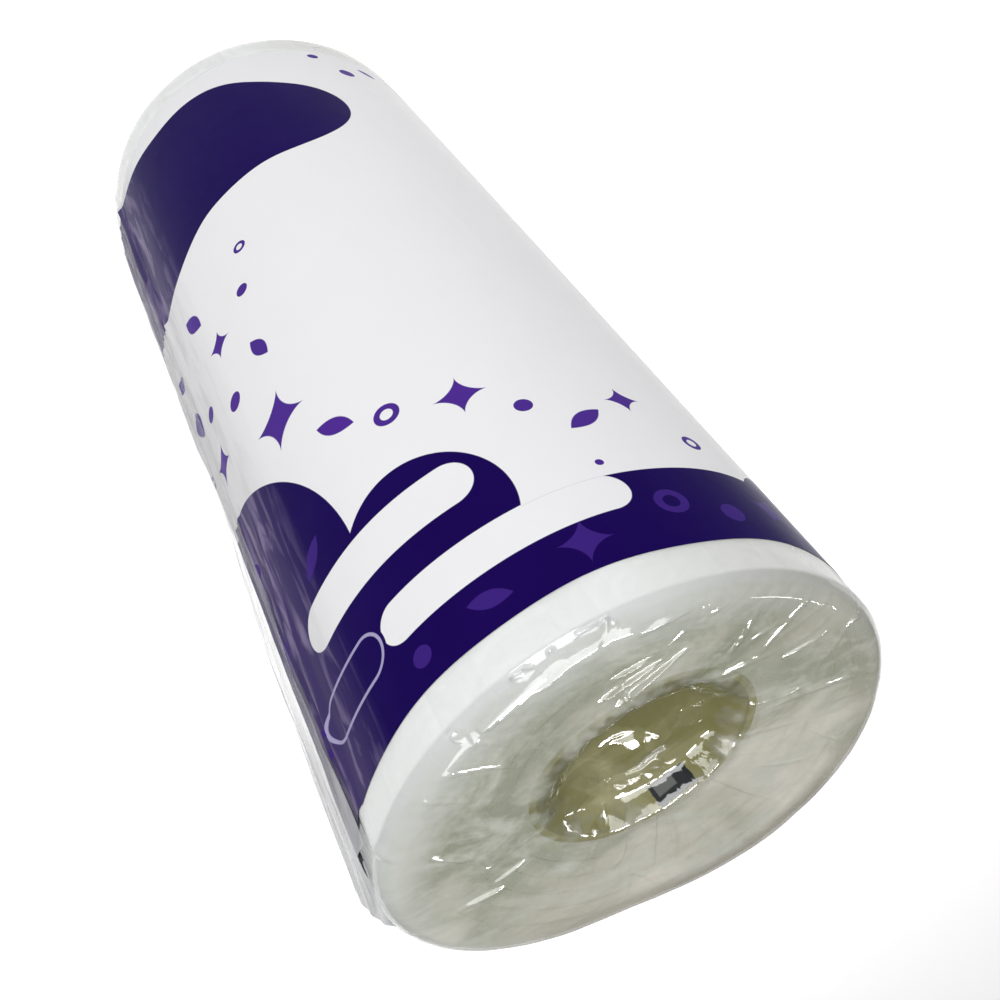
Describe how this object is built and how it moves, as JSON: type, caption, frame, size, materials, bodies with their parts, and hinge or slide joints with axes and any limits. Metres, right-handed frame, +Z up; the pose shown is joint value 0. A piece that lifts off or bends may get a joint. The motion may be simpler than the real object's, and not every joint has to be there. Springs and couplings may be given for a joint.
{
  "type": "paper towel roll",
  "caption": "Roll of paper kitchen towels on a cardboard core, closed in a printed clear film wrap with gathered ends, standing on one end",
  "frame": {"origin": "middle of the end that the roll stands on, on the surface under it", "axes": "+Z up along the roll; +Y towards the flat spot it has lain on; -Y is the round front; +X to the right of the front"},
  "size_m": [0.114, 0.103, 0.282],
  "materials": {
    "core_board": "bare grey-brown cardboard, matte",
    "towel_paper": "soft white two-ply tissue, matte",
    "wrap_film": "thin clear film, glossy, printed white and deep violet round the side"
  },
  "bodies": {
    "root": {"core_tube": "core_board", "towel_roll": "towel_paper", "film_wrap": "wrap_film"}
  },
  "joints": []
}
